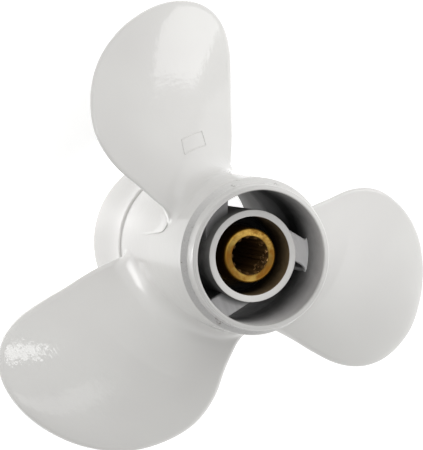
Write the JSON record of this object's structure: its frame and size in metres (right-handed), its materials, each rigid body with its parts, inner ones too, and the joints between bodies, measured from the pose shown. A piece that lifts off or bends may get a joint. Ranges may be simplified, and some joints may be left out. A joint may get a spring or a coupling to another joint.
{
  "type": "outboard motor propeller",
  "caption": "Cast outboard propeller with raked helical blades, a through-hub exhaust barrel flaring to a rear ring, and a rubber-cushioned splined brass sleeve in an inner tube.",
  "frame": {"origin": "on the shaft axis, at the centre of mass of the solids", "axes": "+Z along the shaft axis towards the front (gearcase) end; +Y is the reference line of blade_1"},
  "size_m": [0.2719, 0.2626, 0.151],
  "materials": {
    "cast_paint": "gloss off-white enamel",
    "rib_paint": "thin grey enamel over machined casting",
    "bush_rubber": "matt black",
    "sleeve_brass": "machined, lightly tarnished"
  },
  "bodies": {
    "root": {"hub_barrel": "cast_paint", "diffuser_ring": "cast_paint", "inner_tube": "cast_paint", "blade_1": "cast_paint", "blade_2": "cast_paint", "blade_3": "cast_paint", "rib_1": "rib_paint", "rib_2": "rib_paint", "rib_3": "rib_paint", "rubber_bush": "bush_rubber", "brass_sleeve": "sleeve_brass"}
  },
  "joints": []
}
